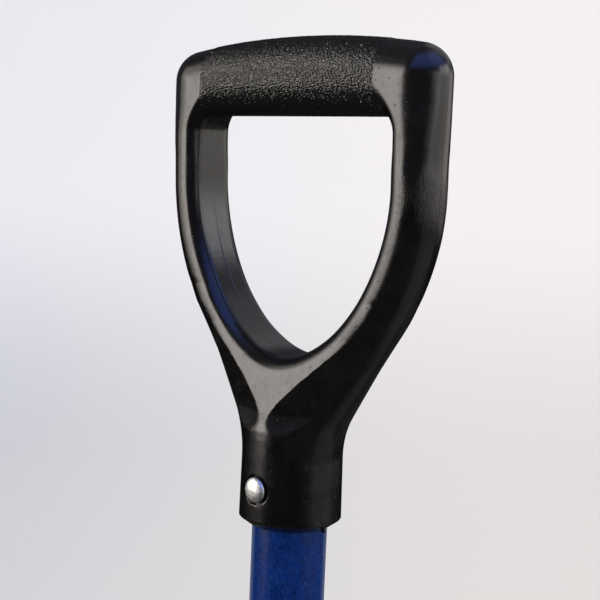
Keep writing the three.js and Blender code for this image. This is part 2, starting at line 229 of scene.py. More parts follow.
def mesh_object(name, points_mm, faces, normals=None, sharp_degrees=None):
    """A mesh object from millimetre points, with smooth shading."""
    mesh = bpy.data.meshes.new(name)
    mesh.from_pydata((np.asarray(points_mm) * MM).tolist(), [], [list(map(int, f)) for f in faces])
    mesh.polygons.foreach_set("use_smooth", [True] * len(mesh.polygons))
    if sharp_degrees is not None:
        mesh.set_sharp_from_angle(angle=math.radians(sharp_degrees))
    if normals is not None:
        mesh.normals_split_custom_set_from_vertices(normals.tolist())
    mesh.update()
    piece = bpy.data.objects.new(name, mesh)
    bpy.context.scene.collection.objects.link(piece)
    return piece


def ring_quads(near, far, count):
    """Quads between two rings of points, each ring given by the index of its first point."""
    k = np.arange(count)
    after = (k + 1) % count
    return np.stack([near + k, near + after, far + after, far + k], 1)


def outward(points, faces):
    """The faces, turned round if they enclose a negative volume."""
    a, b, c, d = (points[faces[:, k]] for k in range(4))
    volume = (np.cross(b - a, c - a) * a).sum() + (np.cross(c - a, d - a) * a).sum()
    return faces if volume > 0 else faces[:, ::-1]


def field_piece(name, lines, field, warp=None):
    """The zero surface of a field as a piece. warp carries the field's own space into the row frame."""
    x, y, z = (line.reshape([-1 if d == k else 1 for k in range(3)]) for d, line in enumerate(lines))
    points, quads = surface_nets(lines, field(x, y, z))
    points = settle(points, field)
    slope = slope_of(field, points, 0.2)
    if warp:
        tip = warp(points + 0.01 * slope / np.linalg.norm(slope, axis=1, keepdims=True))
        points = warp(points)
        slope = tip - points
    quads = outward(points, quads)
    return mesh_object(name, points, quads, slope / np.linalg.norm(slope, axis=1, keepdims=True))


# ---- Turned pieces -----------------------------------------------------------------------------


def rounded_profile(points, radii, steps=5):
    """A closed [radius, height] profile with its corners rounded."""
    count = len(points)
    wrapped = [points[-1], *points, points[0]]
    rounding = [0, *radii, 0]
    out = []
    for i in range(1, count + 1):
        if radii[i - 1] == 0:
            out.append(np.array(points[i - 1], float))
        else:
            arc = rounded_corners(wrapped[i - 1:i + 2], [0, rounding[i], 0], steps)
            out.extend(arc[1:-1])
    return np.array(out)


def turned_piece(name, profile, axis="z", centre=(0, 0, 0), steps=96, sharp_degrees=None, swing=0.0):
    """Turns a closed profile of [radius, height] about an axis; points on the axis become poles."""
    points, faces, rings = [], [], []
    for radius, height in profile:
        if radius < 1e-6:
            rings.append([len(points)] * steps)
            points.append((0.0, 0.0, height))
            continue
        rings.append([len(points) + k for k in range(steps)])
        for k in range(steps):
            angle = 2 * math.pi * k / steps
            points.append((radius * math.cos(angle), radius * math.sin(angle), height))
    for lower, upper in zip(rings, rings[1:] + rings[:1]):
        for k in range(steps):
            after = (k + 1) % steps
            corners = [lower[k], lower[after], upper[after], upper[k]]
            loop = [c for i, c in enumerate(corners) if c != corners[i - 1]]
            if len(loop) > 2:
                faces.append(loop)
    turn = {"z": Matrix.Identity(3), "x": Matrix.Rotation(-math.pi / 2, 3, "Y"),
            "y": Matrix.Rotation(-math.pi / 2, 3, "X")}[axis]
    turn = Matrix.Rotation(swing, 3, "Z") @ turn
    placed = [tuple(turn @ Vector(p) + Vector(centre)) for p in points]
    return mesh_object(name, placed, faces, sharp_degrees=sharp_degrees)


# ---- D-grip ------------------------------------------------------------------------------------
# Heights in this section are measured up from the socket's rim.

SOCKET_R_FOOT, SOCKET_R_TOP = 20.4, 19.9
SOCKET_BORE_DEPTH = 37
NECK_Z = 35.6               # where the socket starts to widen into the yoke
RIM_CHAMFER = (4.2, 3.0)    # width and height
HIP = (66.2, 107.3)         # corner of the arms' outer edge before it is rounded
CORNER_X = 65.6             # and the D's upper corner
OUTLINE_ROUND = (28.0, 115.7, 12.5)     # radii at the neck, hip and upper corner
OPENING_FOOT, OPENING_WIDE, OPENING_X = 67.4, 134.9, 48.7
OPENING_POWER = 1.81        # 2 would make its lower half an ellipse; less makes it more pointed
OPENING_CORNER = 7.0
BAR_FOOT_Z, BAR_CROWN_Z = 160.9, 191.1
CROWN_DROP = 2.1            # how much lower the bar's top is 40 mm from the middle
ARM_DEPTH = 12.2            # half the arms' thickness, front to back
INNER_ROUND, BAR_ROUND = 5.7, 15.1      # rounding of the edges round the opening, and of the bar
# In each table below, the first row holds heights and the second row the values there.
# The flat front's distance from the middle plane: below the arms it slopes out until it runs out
# in a point on the socket.
FRONT = ((0, 46, 50, 58, 67, 78, 92), (34.4, 18.3, 17.45, 15.75, 14.0, 12.7, ARM_DEPTH))
# Half the flat's width, and how steeply the facets beside it fall away.
FLAT = ((43, 46, 50, 58, 67.5, 80, 95), (1.2, 2.2, 5.0, 12.6, 23.5, 39, 62))
FACET_SLOPE = ((40, 50, 70, 92), (0.33, 0.36, 0.42, 0.2))
# Half the yoke's thickness before those cuts, and how far its rounding reaches in from the outer
# edge. Below the opening the rounding reaches the middle.
DOME = ((0, NECK_Z, 39, 42, 46, 67.5, 76, 92),
        (SOCKET_R_FOOT, SOCKET_R_TOP, 19.78, 19.5, 18.9, 17.5, 14.8, ARM_DEPTH))
OUTER_ROUND = ((62, 67.5, 76, 85, 95, 130, 150, 165), (40, 32, 21, 14, 11, 10.2, 11.0, 14.5))
ARM_WAIST = (0.8, 138, 17)  # how far the arms' sides draw in, at what height, over what spread
HEAD_SWELL = (1.0, 140, 170)            # how far they swell again, and between which heights
LEAN = 1.15                 # the mould pulled the top this far to the left
TILT = 0.008                # and the bar is this much lower on the left, per mm
SLEEVE_STEP = 0.22          # how proud the sleeve stands
SLEEVE_TUCK = 1.3           # how far the moulding runs on under each end of the sleeve
SLEEVE_CORE = 2.0           # how deep the moulding's core lies under the sleeve
RIVET_SEAT = (5.9, 18.9)    # radius, and distance of the flat from the handle's axis
RIVET_LIFT = 1.0            # the rivet was not set right down
WASHER_SEAT = (6.3, 18.2)
DRILL_TURN = math.radians(-3.4)         # the rivet's hole is drilled a little off the mould's plane
PARTING_RIDGE = (0.1, 0.22)             # height and half-width of the line round the moulding
GATE_SCAR = ((64.6, -5.2, 136.5), 0.8)  # dimple left by the moulding gate: place and size
FLASH_NUB = ((17.4, 0, 0.2), 1.1)       # scraps of flash: place and size
BURR = ((-14.6, -12.6, 41), 0.55)


def crown_z(x):
    return BAR_CROWN_Z - CROWN_DROP * (x / 40) ** 2


def grip_outline():
    below = -30             # well under the rim, which is cut later
    foot_r = mix(SOCKET_R_FOOT, SOCKET_R_TOP, below / NECK_Z)
    side = [(0, below), (foot_r, below), (SOCKET_R_TOP, NECK_Z), HIP, (CORNER_X, crown_z(CORNER_X))]
    top = [(x, crown_z(x)) for x in (50, 40, 30, 20, 10, 0)]
    return mirrored(rounded_corners(side + top, [0, 0, *OUTLINE_ROUND] + [0] * len(top)))


def grip_opening():
    angle = np.linspace(0, math.pi / 2, 48)
    power = 2 / OPENING_POWER
    lower = np.stack([OPENING_X * np.sin(angle) ** power,
                      OPENING_WIDE - (OPENING_WIDE - OPENING_FOOT) * np.cos(angle) ** power], 1)
    upper = rounded_corners([(OPENING_X, OPENING_WIDE), (OPENING_X, BAR_FOOT_Z), (0, BAR_FOOT_Z)],
                            [0, OPENING_CORNER, 0])
    return mirrored(np.vstack([lower[:-1], upper]))


OUTLINE = DistanceMap(grip_outline(), (-1, -6), (72, 200))
OPENING = DistanceMap(grip_opening(), (-1, -6), (72, 200))


def edge(inward, depth_in, reach, drop, half_depth):
    """Field of a flat slab whose edge is rounded; inward is the distance in from that edge."""
    across = np.maximum(reach - inward, 0) / reach
    down = np.maximum(depth_in - (half_depth - drop), 0) / drop
    size = np.hypot(across, down)
    scale = np.hypot(across / reach, down / drop)
    return np.where(size < 1e-6, -np.minimum(reach, drop), (size - 1) * size / np.maximum(scale, 1e-9))


def bar_share(side, z):
    """1 along the hand bar, 0 in the arms, with a smooth change between."""
    return smooth_step(53, 37, side) * smooth_step(140, 150, z)


def bare_grip(x, y, z):
    """The moulding's outer form, without its bore, recesses and sleeve."""
    leaning = x + LEAN * smooth_step(115, 172, z)
    z = z - TILT * x * smooth_step(140, 175, z)
    side, depth_in = np.abs(leaning), np.abs(y)
    bar = bar_share(side, z)
    front = np.interp(z, *FRONT) + 0.2 * bar
    dome = np.interp(z, *DOME) + 0.2 * bar
    swell = HEAD_SWELL[0] * smooth_step(*HEAD_SWELL[1:], z) - ARM_WAIST[0] * bump_at(z, *ARM_WAIST[1:])
    across_yoke = np.where(z < OPENING_FOOT, -OUTLINE(0.0, np.clip(z, -4, OPENING_FOOT)), 99)
    rounding = np.minimum(np.interp(z, *OUTER_ROUND), across_yoke)
    outer = edge(-OUTLINE(side - swell, z), depth_in, mix(rounding, BAR_ROUND, bar), dome, dome)
    inner = edge(OPENING(side, z), depth_in, mix(INNER_ROUND, BAR_ROUND, bar),
                 mix(INNER_ROUND, front, bar), front)
    facet = front - np.interp(z, *FACET_SLOPE) * np.maximum(side - np.interp(z, *FLAT), 0)
    form = smooth_max(smooth_max(outer, inner, 1.0), depth_in - facet, 0.4)
    width, height = RIM_CHAMFER
    return smooth_max(form, np.hypot(x, y) - (SOCKET_R_FOOT - width + width * z / height), 0.2)


def sleeve_zone(x, z):
    """Negative where the sleeve covers the bar."""
    ends = np.maximum(SLEEVE_LEFT + SLEEVE_TUCK - x, x - (SLEEVE_RIGHT - SLEEVE_TUCK))
    return np.maximum(ends, 150 - z)


def grip_field(x, y, z):
    z = z - RIM_Z
    form = bare_grip(x, y, z)
    ridge, width = PARTING_RIDGE
    form = form - ridge * np.exp(-((y / width) ** 2))
    form = np.minimum(np.maximum(form, -sleeve_zone(x, z)), form + SLEEVE_CORE)
    form = smooth_max(form, -z, 0.3)
    for (px, py, pz), size in (FLASH_NUB, BURR):
        form = smooth_min(form, np.hypot(np.hypot(x - px, 1.5 * (y - py)), z - pz) - size, 0.4)
    bore = np.maximum(np.hypot(x, y) - (SHAFT_R + 0.3), z - SOCKET_BORE_DEPTH)
    (px, py, pz), size = GATE_SCAR
    form = smooth_max(form, size - np.hypot(np.hypot(x - px, y - py), 0.7 * (z - pz)), 0.5)
    along = y * math.cos(DRILL_TURN) - x * math.sin(DRILL_TURN)
    from_rivet = np.hypot(x * math.cos(DRILL_TURN) + y * math.sin(DRILL_TURN), z - (GRIP_RIVET_Z - RIM_Z))
    form = smooth_max(form, -np.maximum(from_rivet - RIVET_SEAT[0], along + RIVET_SEAT[1]), 0.2)
    form = smooth_max(form, -np.maximum(from_rivet - WASHER_SEAT[0], WASHER_SEAT[1] - along), 0.5)
    return smooth_max(form, -bore, 0.4)


def make_grip():
    coarse, fine = 1.15, 0.7
    lines = [
        grid_lines((-67, -42, coarse), (-42, 42, fine), (42, 67, coarse)),
        grid_lines((-21.5, -0.6, 0.75), (-0.6, 0.6, 0.15), (0.6, 21.5, 0.75)),
        RIM_Z + grid_lines((-2.1, 82, fine), (82, 194, coarse)),
    ]
    return field_piece("grip_moulding", lines, grip_field)


# ---- Textured sleeve ---------------------------------------------------------------------------

GRAIN = 0.95                # average size of one pebble of the texture, mm
GRAIN_DEPTH = 0.4
SLEEVE_BORE = (10.0, 12.2)  # half its depth and half its height


def cell_noise(u, v, seed):
    """Distances to the nearest and second nearest of one random point in each unit cell."""
    near = np.full(u.shape, 9.0)
    second = np.full(u.shape, 9.0)
    iu, iv = np.floor(u).astype(int), np.floor(v).astype(int)
    for du in (-1, 0, 1):
        for dv in (-1, 0, 1):
            a, b = iu + du, iv + dv
            pick = np.sin(a * 127.1 + b * 311.7 + seed) * 43758.5453
            pick2 = np.sin(a * 269.5 + b * 183.3 + seed) * 12543.1237
            px = a + 0.5 + 0.8 * (pick - np.floor(pick) - 0.5)
            py = b + 0.5 + 0.8 * (pick2 - np.floor(pick2) - 0.5)
            reach = np.hypot(u - px, v - py)
            second = np.minimum(second, np.maximum(reach, near))
            near = np.minimum(near, reach)
    return near, second


def grain_height(along, round_the_bar):
    """Leather-like grain, 0 in the creases and 1 on the crowns of the pebbles."""
    sway = 0.5 * np.sin(along * 1.9 + 1.3 * np.sin(round_the_bar * 1.1)) \
        + 0.4 * np.sin(round_the_bar * 2.3 + 1.7 * np.sin(along * 0.8))
    u = (along + 0.4 * sway) / (1.45 * GRAIN)
    v = (round_the_bar + 0.35 * sway) / (0.75 * GRAIN)
    near, second = cell_noise(u, v, 4.0)
    crown = np.clip(1 - near * near * 1.3, 0, 1)
    pebble = smooth_step(0.0, 0.4, second - near) * (0.45 + 0.55 * crown)
    small, small2 = cell_noise(u * 2.1 + 7.7, v * 2.1 + 3.1, 9.0)
    return 0.78 * pebble + 0.22 * smooth_step(0.0, 0.45, small2 - small)


def sleeve_reach(x, ray_y, ray_z, middle_z):
    """How far each ray runs from the bar's middle to the bare sleeve's surface."""
    low, high = np.full(x.shape, 9.0), np.full(x.shape, 26.0)
    for _ in range(24):
        mid = (low + high) / 2
        out = bare_grip(x, ray_y * mid, middle_z + ray_z * mid) > SLEEVE_STEP
        high = np.where(out, mid, high)
        low = np.where(out, low, mid)
    return (low + high) / 2


def make_sleeve():
    stations, spokes = 322, 300
    x = np.linspace(SLEEVE_LEFT + 0.05, SLEEVE_RIGHT - 0.05, stations)
    x = np.concatenate([[SLEEVE_LEFT], x, [SLEEVE_RIGHT]])
    angle = np.arange(spokes) * 2 * math.pi / spokes
    angle = angle + 0.45 * np.sin(angle)        # closer together at the front, where angle is pi
    grid_x, grid_a = np.meshgrid(x, angle, indexing="ij")
    middle_z = (BAR_FOOT_Z + crown_z(grid_x)) / 2
    squash = (ARM_DEPTH + 0.2) / BAR_ROUND
    ray_y, ray_z = np.cos(grid_a) * squash, np.sin(grid_a)
    length = sleeve_reach(grid_x, ray_y, ray_z, middle_z)
    from_end = np.minimum(grid_x - SLEEVE_LEFT, SLEEVE_RIGHT - grid_x)
    fade = smooth_step(0, 0.9, from_end)
    height = grain_height(grid_x, grid_a * 14.0) * fade
    length = length + GRAIN_DEPTH * (height - 0.75) * fade
    length = length - (SLEEVE_STEP - 0.04) * (1 - smooth_step(0, 1.2, from_end))
    outer = np.stack([grid_x, ray_y * length, RIM_Z + middle_z + ray_z * length], -1)
    # Two rings inside the bar close the sleeve's ends and its bore.
    inner = []
    for end_x in (SLEEVE_RIGHT, SLEEVE_LEFT):
        end_z = RIM_Z + (BAR_FOOT_Z + crown_z(end_x)) / 2
        ring_y, ring_z = SLEEVE_BORE[0] * np.cos(angle), end_z + SLEEVE_BORE[1] * np.sin(angle)
        inner.append(np.stack([np.full(spokes, end_x), ring_y, ring_z], 1))
    points = np.vstack([outer.reshape(-1, 3), *inner])
    starts = np.arange(0, len(points), spokes)
    faces = np.vstack([ring_quads(a, b, spokes) for a, b in zip(starts, np.roll(starts, -1))])
    return mesh_object("bar_sleeve", points, outward(points, faces), sharp_degrees=70)


# ---- Shaft, rivets and small turned parts ------------------------------------------------------


def make_shaft():
    bore = SHAFT_R - 3.5
    profile = rounded_profile(
        [(bore, SHAFT_FOOT), (SHAFT_R, SHAFT_FOOT), (SHAFT_R, SHAFT_TOP), (bore, SHAFT_TOP)], [0.5] * 4)
    return turned_piece("shaft", profile, steps=128, sharp_degrees=40)


def make_rivet(name, seat, spot, height, axis, swing=0.0):
    """A set rivet: low domed head with a small rolled edge at one end, upset tail at the other."""
    head_r, head_h, shank_r, tail_r = 5.0, 2.1, 3.0, 4.2
    base = -(seat + 0.1)
    dome = [(head_r * math.sin(a), base - 0.35 - (head_h - 0.35) * math.cos(a))
            for a in np.linspace(0, math.pi / 2, 14)]
    tail = spot + 1.8
    profile = [*dome, (head_r, base - 0.1), (head_r - 0.15, base), (shank_r, base), (shank_r, tail),
               (tail_r, tail), (tail_r, tail + 0.4), (0.85 * tail_r, tail + 1.2), (0.5 * tail_r, tail + 1.6),
               (0, tail + 1.75)]
    return turned_piece(name, profile, axis, (0, 0, height), 72, 40, swing)


def make_washer(name, spot, height, axis, swing=0.0):
    low, high = spot + 0.3, spot + 1.5
    profile = rounded_profile([(3.3, low), (6.0, low), (6.0, high), (3.3, high)], [0.2] * 4)
    return turned_piece(name, profile, axis, (0, 0, height), 72, 40, swing)


def bush_radius(z):
    return mix(23.5, 21.0, (z - BUSH_FOOT) / (BUSH_TOP - BUSH_FOOT))


def make_bush():
    bore = SHAFT_R + 0.3
    profile = rounded_profile(
        [(bore, BUSH_FOOT), (bush_radius(BUSH_FOOT), BUSH_FOOT), (bush_radius(BUSH_TOP), BUSH_TOP),
         (bore, BUSH_TOP)], [0.3, 0.8, 1.2, 0.3])
    return turned_piece("eye_bush", profile, steps=128, sharp_degrees=40)


def make_collar():
    """A moulded rubber guard: a plain skirt, three shallow rings, and a tapering lip."""
    bore = SHAFT_R + 0.15
    skirt, lip = 22.0, 17.4
    outline = [(bore, COLLAR_FOOT), (skirt, COLLAR_FOOT), (skirt, COLLAR_FOOT + 5.5)]
    radii = [0.3, 0.8, 0.8]
    for k in range(3):
        z = COLLAR_FOOT + 7.5 + 4.4 * k
        r = mix(skirt - 0.8, lip + 1.0, k / 3)
        outline += [(r - 1.1, z - 1.2), (r - 0.2, z), (r - 0.5, z + 2.0)]
        radii += [0.5, 0.7, 0.7]
    outline += [(lip - 0.4, COLLAR_TOP - 4.2), (lip, COLLAR_TOP - 3.0), (lip - 0.6, COLLAR_TOP),
                (bore, COLLAR_TOP)]
    radii += [0.6, 0.6, 0.6, 0.3]
    return turned_piece("tube_collar", rounded_profile(outline, radii), steps=128, sharp_degrees=60)


def make_cap():
    spigot = 11.2
    profile = rounded_profile(
        [(0, 0), (CAP_R - 0.2, 0), (CAP_R, 2.0), (CAP_R, 6.0), (spigot, 6.0), (spigot, 20.0), (0, 20.0)],
        [0, 1.4, 1.0, 0.6, 0.4, 0.8, 0])
    return turned_piece("foot_cap", profile, steps=128, sharp_degrees=45)


# ---- Head --------------------------------------------------------------------------------------
# The head's field lives in a bent space: x across, s out from the handle's axis, w up from the
# blade's middle surface. blade_to_row carries it into the row frame.

BLADE_ROOT_Z, BLADE_RISE, BLADE_CURVE = 28.0, 0.2, 0.00035
EDGE_HALF_WIDTH = 76.0
EYE_TOP = 58.0
HEAD_SEAT = 29.0            # flats on the eye for the rivet's head and washer, from the axis
RIB_START, RIB_END = 26, 146            # the rib narrows from the first to the second
BEVEL = 15.0                # length of the ground bevel behind the cutting edge


def blade_middle(s):
    along = np.maximum(s, 0)
    return BLADE_ROOT_Z + BLADE_RISE * along + BLADE_CURVE * along ** 2


def blade_to_row(points):
    x, s, w = points.T
    return np.stack([x, -s, w + blade_middle(s)], 1)


def blade_plan():
    """The blade's outline seen from above, drawn as (x, s)."""
    tip = BLADE_LENGTH
    right = rounded_corners(
        [(0, 5), (21, 5), (24.5, 40), (62.5, 72), (EDGE_HALF_WIDTH, tip - 3.2), (0, tip + 1.4)],
        [0, 0, 16, 26, 5, 0], 24)
    right[-1] = (0, tip)
    return mirrored(right)


BLADE_PLAN = DistanceMap(blade_plan(), (-1, -40), (82, 225), 0.5)


def blade_half_thickness(s):
    return np.interp(s, [20, 30, 38, 46, 56, 70, 95, 140, 198, 205, BLADE_LENGTH],
                     [24, 21, 16.5, 11.0, 7.6, 5.6, 4.4, 3.2, 2.0, 1.7, 0.4])


def head_field(x, s, w):
    side = np.abs(x)
    z = w + blade_middle(s)
    half = blade_half_thickness(s)
    dish = 0.5 * (x / 60) ** 2
    plan = BLADE_PLAN(side, s)
    slab = np.abs(w - dish) - half
    blade = smooth_max(slab * 0.97, plan, np.clip(half * 0.9, 0.7, 3.0))
    along = np.clip((s - RIB_START) / (RIB_END - RIB_START), 0, 1)
    rib_r = mix(11.5, 0.6, along ** 0.8)
    rib = np.hypot(x, (w - dish) * 1.25) - rib_r
    rib = np.maximum(rib, np.maximum(s - (RIB_END + 4), 15 - s))
    blade = smooth_min(blade, rib, 4.0)
    outer = mix(31.3, 29.8, np.clip((z - EYE_FOOT) / (EYE_TOP - EYE_FOOT), 0, 1)) \
        + 0.9 * bump_at(z, EYE_FOOT + 4, 5) + 0.5 * bump_at(z, EYE_TOP - 4, 4)
    ring = np.hypot(x, s) - outer
    eye = smooth_max(ring, np.abs(z - (EYE_FOOT + EYE_TOP) / 2) - (EYE_TOP - EYE_FOOT) / 2, 2.5)
    form = smooth_min(blade, eye, 7.0)
    bore = np.hypot(x, s) - (bush_radius(z) + 0.3)
    form = smooth_max(form, -bore, 1.2)
    spot = np.maximum(np.hypot(s, z - HEAD_RIVET_Z) - 6.6, HEAD_SEAT - side)
    return smooth_max(form, -spot, 0.6)


def make_head():
    tip = BLADE_LENGTH
    lines = [
        grid_lines((-79.4, 79.4, 1.35)),
        grid_lines((-34, 60, 1.1), (60, 190, 1.8), (190, tip + 2, 0.8)),
        grid_lines((-80, -26, 3.0), (-26, -9, 1.1), (-9, 9, 0.55), (9, 36, 1.1)),
    ]
    return field_piece("hoe_forging", lines, head_field, blade_to_row)


# ---- Material building blocks ------------------------------------------------------------------


class Graph:
    """The nodes of a material or of the world, with a short call for each kind used here."""

    def __init__(self, tree):
        self.nodes, self.links = tree.nodes, tree.links

    def feed(self, socket, value):
        """Links another node's output to the socket, or sets a constant on the socket itself."""
        if isinstance(value, bpy.types.NodeSocket):
            self.links.new(value, socket)
        else:
            socket.default_value = value

    def span(self, value, low, high, to_low=0.0, to_high=1.0):
        """Eases from to_low to to_high as the value goes from low to high."""
        node = self.nodes.new("ShaderNodeMapRange")
        node.interpolation_type = "SMOOTHSTEP"
        for socket, number in zip(("From Min", "From Max", "To Min", "To Max"), (low, high, to_low, to_high)):
            node.inputs[socket].default_value = number
        self.links.new(value, node.inputs["Value"])
        return node.outputs["Result"]

    def maths(self, operation, *values):
        node = self.nodes.new("ShaderNodeMath")
        node.operation = operation
        for socket, value in zip(node.inputs, values):
            self.feed(socket, value)
        return node.outputs["Value"]

    def highest(self, values):
        best = values[0]
        for value in values[1:]:
            best = self.maths("MAXIMUM", best, value)
        return best

    def along(self, place, direction):
        """How far a place lies in a direction."""
        node = self.nodes.new("ShaderNodeVectorMath")
        node.operation = "DOT_PRODUCT"
        self.links.new(place, node.inputs[0])
        node.inputs[1].default_value = direction
        return node.outputs["Value"]

    def blend(self, share, first, second):
        """From the first colour to the second; a colour is three numbers or another node's output."""
        node = self.nodes.new("ShaderNodeMix")
        node.data_type = "RGBA"
        for socket, value in ((node.inputs[6], first), (node.inputs[7], second)):
            self.feed(socket, (*value, 1) if isinstance(value, tuple) else value)
        self.links.new(share, node.inputs[0])
        return node.outputs[2]


class Surface(Graph):
    """A node material under construction. Patterns are read from the piece's own place, in mm."""

    def __init__(self, name, **fixed):
        self.material = bpy.data.materials.new(name)
        self.material.use_nodes = True
        super().__init__(self.material.node_tree)
        self.shader = self.nodes["Principled BSDF"]
        for socket, value in fixed.items():
            self.shader.inputs[socket.replace("_", " ")].default_value = value
        where = self.nodes.new("ShaderNodeTexCoord").outputs["Object"]
        self.place = self.scaled(where, (1000, 1000, 1000))

    def scaled(self, vector, scale, turn=(0, 0, 0)):
        node = self.nodes.new("ShaderNodeMapping")
        node.inputs["Scale"].default_value = scale
        node.inputs["Rotation"].default_value = turn
        self.links.new(vector, node.inputs["Vector"])
        return node.outputs["Vector"]

    def noise(self, scale, detail=3, roughness=0.55, stretch=None, turn=(0, 0, 0), warp=0):
        node = self.nodes.new("ShaderNodeTexNoise")
        node.inputs["Scale"].default_value = scale
        node.inputs["Detail"].default_value = detail
        node.inputs["Roughness"].default_value = roughness
        node.inputs["Distortion"].default_value = warp
        place = self.scaled(self.place, stretch, turn) if stretch else self.place
        self.links.new(place, node.inputs["Vector"])
        return node.outputs["Fac"]

    def cells(self, scale, feature="F1", stretch=None):
        node = self.nodes.new("ShaderNodeTexVoronoi")
        node.feature = feature
        node.inputs["Scale"].default_value = scale
        place = self.scaled(self.place, stretch) if stretch else self.place
        self.links.new(place, node.inputs["Vector"])
        return node.outputs["Distance"]

    def axis(self, name):
        node = self.nodes.new("ShaderNodeSeparateXYZ")
        self.links.new(self.place, node.inputs["Vector"])
        return node.outputs[name]

    def spot(self, centre, radius):
        """1 near the centre, falling to 0 at the radius."""
        node = self.nodes.new("ShaderNodeVectorMath")
        node.operation = "DISTANCE"
        node.inputs[1].default_value = centre
        self.links.new(self.place, node.inputs[0])
        return self.span(node.outputs["Value"], 0.3 * radius, radius, 1.0, 0.0)

    def set(self, socket, value):
        self.links.new(value, self.shader.inputs[socket])

    def relief(self, height, depth_mm, strength=1.0, under=None):
        node = self.nodes.new("ShaderNodeBump")
        node.inputs["Strength"].default_value = strength
        node.inputs["Distance"].default_value = depth_mm * MM
        self.links.new(height, node.inputs["Height"])
        if under:
            self.links.new(under, node.inputs["Normal"])
        return node.outputs["Normal"]


# ---- Materials ---------------------------------------------------------------------------------

# Knocked and scratched places on the moulding: centre and radius.
SCUFFS = (((64.6, -5.5, RIM_Z + 131), 15), ((-27, -13, RIM_Z + 64), 8), ((-20, -15, RIM_Z + 53), 6))
# How the four layers of fibres in the shaft lie.
FIBRE_TURNS = ((0.5, 0.3, 0.0), (1.4, 0.9, 0.6), (2.2, 1.4, 1.1), (1.5, 0.2, 1.7))


def black_moulding():
    """Semi-gloss black polypropylene: faint flow clouds, orange peel, pits and dull scuffs."""
    s = Surface("black_moulding", IOR=1.5)
    cloud = s.noise(0.12, 4, 0.6)
    streak = s.noise(0.8, 4, 0.6, stretch=(1.0, 1.0, 0.1), turn=(0.12, 0.08, 0.0))
    s.set("Base Color", s.blend(s.span(cloud, 0.3, 0.7), (0.0022, 0.0021, 0.0021), (0.0042, 0.004, 0.0038)))
    mottle = s.noise(0.55, 5, 0.7)
    dull = s.maths("ADD", s.span(cloud, 0.25, 0.75, 0.19, 0.25), s.span(streak, 0.45, 0.75, 0.0, 0.04))
    s.set("Roughness", s.maths("ADD", dull, s.span(mottle, 0.5, 0.7, 0.0, 0.07)))
    pits = s.span(s.cells(0.3), 0.06, 0.16, 0, 1)
    worn = s.highest([s.spot(centre, radius) for centre, radius in SCUFFS])
    scratches = s.maths("MULTIPLY", worn, s.noise(0.9, 5, 0.75, stretch=(1.0, 1.0, 0.3), warp=0.5))
    peel = s.relief(scratches, 0.5, 0.6, s.relief(mottle, 0.045, 0.45))
    flow = s.relief(s.noise(0.13, 2, warp=0.6), 0.25, 0.12, peel)
    s.set("Normal", s.relief(pits, 0.1, 0.5, flow))
    return s.material


def grained_rubber():
    """Black overmould; its pebbles are mesh, and the fine relief here only breaks up their shine."""
    s = Surface("grained_rubber", IOR=1.5)
    s.set("Base Color", s.blend(s.noise(0.5, 3), (0.0028, 0.0027, 0.0027), (0.005, 0.0048, 0.0046)))
    s.set("Roughness", s.span(s.noise(0.8, 3), 0.3, 0.7, 0.17, 0.27))
    fine = s.cells(1.7, "SMOOTH_F1", stretch=(0.5, 1.0, 1.0))
    s.set("Normal", s.relief(fine, 0.12, 0.5, s.relief(s.noise(3.0, 2), 0.02, 0.2)))
    return s.material


def blue_fibreglass():
    """Deep blue pultruded tube: a mat of fine fibres under a clear skin, with a painted pale sheen where the
    tube is seen edge-on.
    """
    s = Surface("blue_fibreglass", IOR=1.45, Specular_IOR_Level=0.18)
    layers = [s.noise(1.2, 4, 0.7, stretch=(1.7, 1.7, 0.7), turn=turn) for turn in FIBRE_TURNS]
    veil = s.highest([s.span(layer, 0.56, 0.7) for layer in layers])
    mottle = s.span(s.noise(0.25, 4, 0.65), 0.3, 0.7)
    deep = s.blend(mottle, (0.0006, 0.009, 0.066), (0.0012, 0.017, 0.12))
    fibres = s.blend(s.maths("MULTIPLY", veil, 0.8), deep, (0.008, 0.06, 0.24))
    # Painted reflection: the colour turns pale grey-blue where the surface is seen edge-on, standing in for
    # the backdrop's sheen.
    painted_edge_sheen = s.nodes.new("ShaderNodeLayerWeight").outputs["Facing"]
    s.set("Base Color", s.blend(s.span(painted_edge_sheen, 0.5, 0.9, 0.0, 0.8), fibres, (0.14, 0.18, 0.26)))
    s.set("Roughness", s.span(s.noise(0.4, 3), 0.3, 0.7, 0.2, 0.32))
    s.set("Normal", s.relief(veil, 0.03, 0.2, s.relief(s.noise(0.3, 2), 0.1, 0.15)))
    return s.material


def rivet_steel():
    """Bright zinc-plated steel, dulled by the setting tool."""
    s = Surface("rivet_steel", Metallic=1.0)
    fine = s.noise(2.2, 4, 0.7)
    s.set("Base Color", s.blend(s.span(s.noise(0.9, 4), 0.35, 0.65), (0.6, 0.6, 0.59), (0.97, 0.96, 0.94)))
    s.set("Roughness", s.span(fine, 0.3, 0.7, 0.34, 0.6))
    s.set("Normal", s.relief(fine, 0.08, 0.6, s.relief(s.noise(0.9, 3), 0.15, 0.5)))
    return s.material


